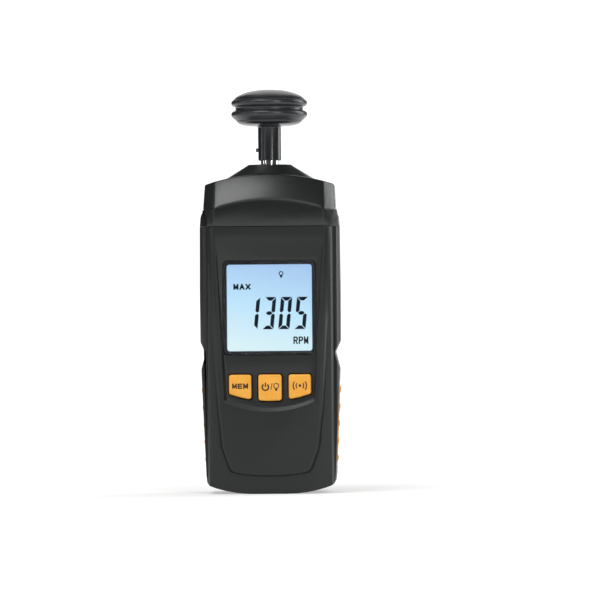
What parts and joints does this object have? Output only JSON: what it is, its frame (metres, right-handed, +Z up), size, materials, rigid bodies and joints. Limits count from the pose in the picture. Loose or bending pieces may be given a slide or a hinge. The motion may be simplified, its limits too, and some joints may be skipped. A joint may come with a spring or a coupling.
{
  "type": "contact tachometer",
  "caption": "Hand-held speed meter with a screen, amber keys and a ribbed rubber wheel on a short shaft, which is held against a moving surface.",
  "frame": {"origin": "under the middle of the flat base, on the shaft's axis", "axes": "+X across the front to the reader's right, +Y from the screen to the back, +Z up along the shaft towards the wheel"},
  "size_m": [0.0584, 0.037, 0.1685],
  "materials": {
    "front_shell": "fine satin",
    "rear_shell": "fine satin",
    "head_shell": "satin",
    "nose_plastic": "satin",
    "door_plastic": "fine satin",
    "amber_keys": "soft satin",
    "amber_grip": "satin",
    "window": "polished",
    "screen_glass": "polished",
    "white_plastic": "satin",
    "diffuser": "satin",
    "elastomer": "matte",
    "circuit_board": "satin",
    "black_plastic": "glossy",
    "cell_sleeve": "glossy",
    "spring_steel": "bright",
    "contact_brass": "bright",
    "cast_block": "satin",
    "bearing_steel": "polished",
    "shaft_steel": "polished",
    "hub_nylon": "satin",
    "screw_steel": "bright",
    "wheel_plastic": "glossy",
    "wheel_rubber": "satin"
  },
  "bodies": {
    "case": {"front_housing": "front_shell", "rear_housing": "rear_shell", "head_cap": "head_shell", "nose_cone": "nose_plastic", "side_grip_left": "amber_grip", "side_grip_right": "amber_grip", "lcd_window": "window", "lcd_frame": "white_plastic", "lcd_glass": "screen_glass", "backlight_panel": "diffuser", "zebra_strips": "elastomer", "main_board": "circuit_board", "controller_chip": "black_plastic", "tact_switches": "black_plastic", "battery_cells": "cell_sleeve", "battery_springs": "spring_steel", "battery_contacts": "contact_brass", "bearing_block": "cast_block", "bearing_outer_rings": "bearing_steel", "shaft_seal": "elastomer", "photo_interrupter": "black_plastic", "sensor_board": "circuit_board", "housing_screws": "screw_steel", "board_screws": "screw_steel", "bearing_block_screws": "screw_steel", "sensor_board_screws": "screw_steel"},
    "spindle": {"drive_shaft": "shaft_steel", "drive_pin": "shaft_steel", "retaining_ring": "spring_steel", "bearing_inner_rings": "bearing_steel", "bearing_balls": "bearing_steel", "encoder_disc": "black_plastic", "encoder_hub": "hub_nylon"},
    "wheel": {"wheel_adapter": "wheel_plastic", "wheel_core": "wheel_plastic", "wheel_tyre": "wheel_rubber", "wheel_cap": "wheel_plastic"},
    "memory_button": {"memory_key": "amber_keys", "memory_plunger": "black_plastic"},
    "power_button": {"power_key": "amber_keys", "power_plunger": "black_plastic"},
    "measure_button": {"measure_key": "amber_keys", "measure_plunger": "black_plastic"},
    "door": {"battery_door": "door_plastic"}
  },
  "joints": [
    {"name": "spindle_spin", "type": "hinge", "parent": "case", "child": "spindle", "pos_m": [0, 0, 0.1365], "axis": [0, 0, 1], "continuous": true},
    {"name": "wheel_pull", "type": "slide", "parent": "spindle", "child": "wheel", "axis": [0, 0, 1], "range_m": [0, 0.015]},
    {"name": "memory_press", "type": "slide", "parent": "case", "child": "memory_button", "axis": [0, 1, 0], "range_m": [0, 0.0006], "stiffness_N_per_m": 400},
    {"name": "power_press", "type": "slide", "parent": "case", "child": "power_button", "axis": [0, 1, 0], "range_m": [0, 0.0006], "stiffness_N_per_m": 400},
    {"name": "measure_press", "type": "slide", "parent": "case", "child": "measure_button", "axis": [0, 1, 0], "range_m": [0, 0.0006], "stiffness_N_per_m": 400},
    {"name": "door_slide", "type": "slide", "parent": "case", "child": "door", "axis": [0, 0, -1], "range_m": [0, 0.062]}
  ]
}
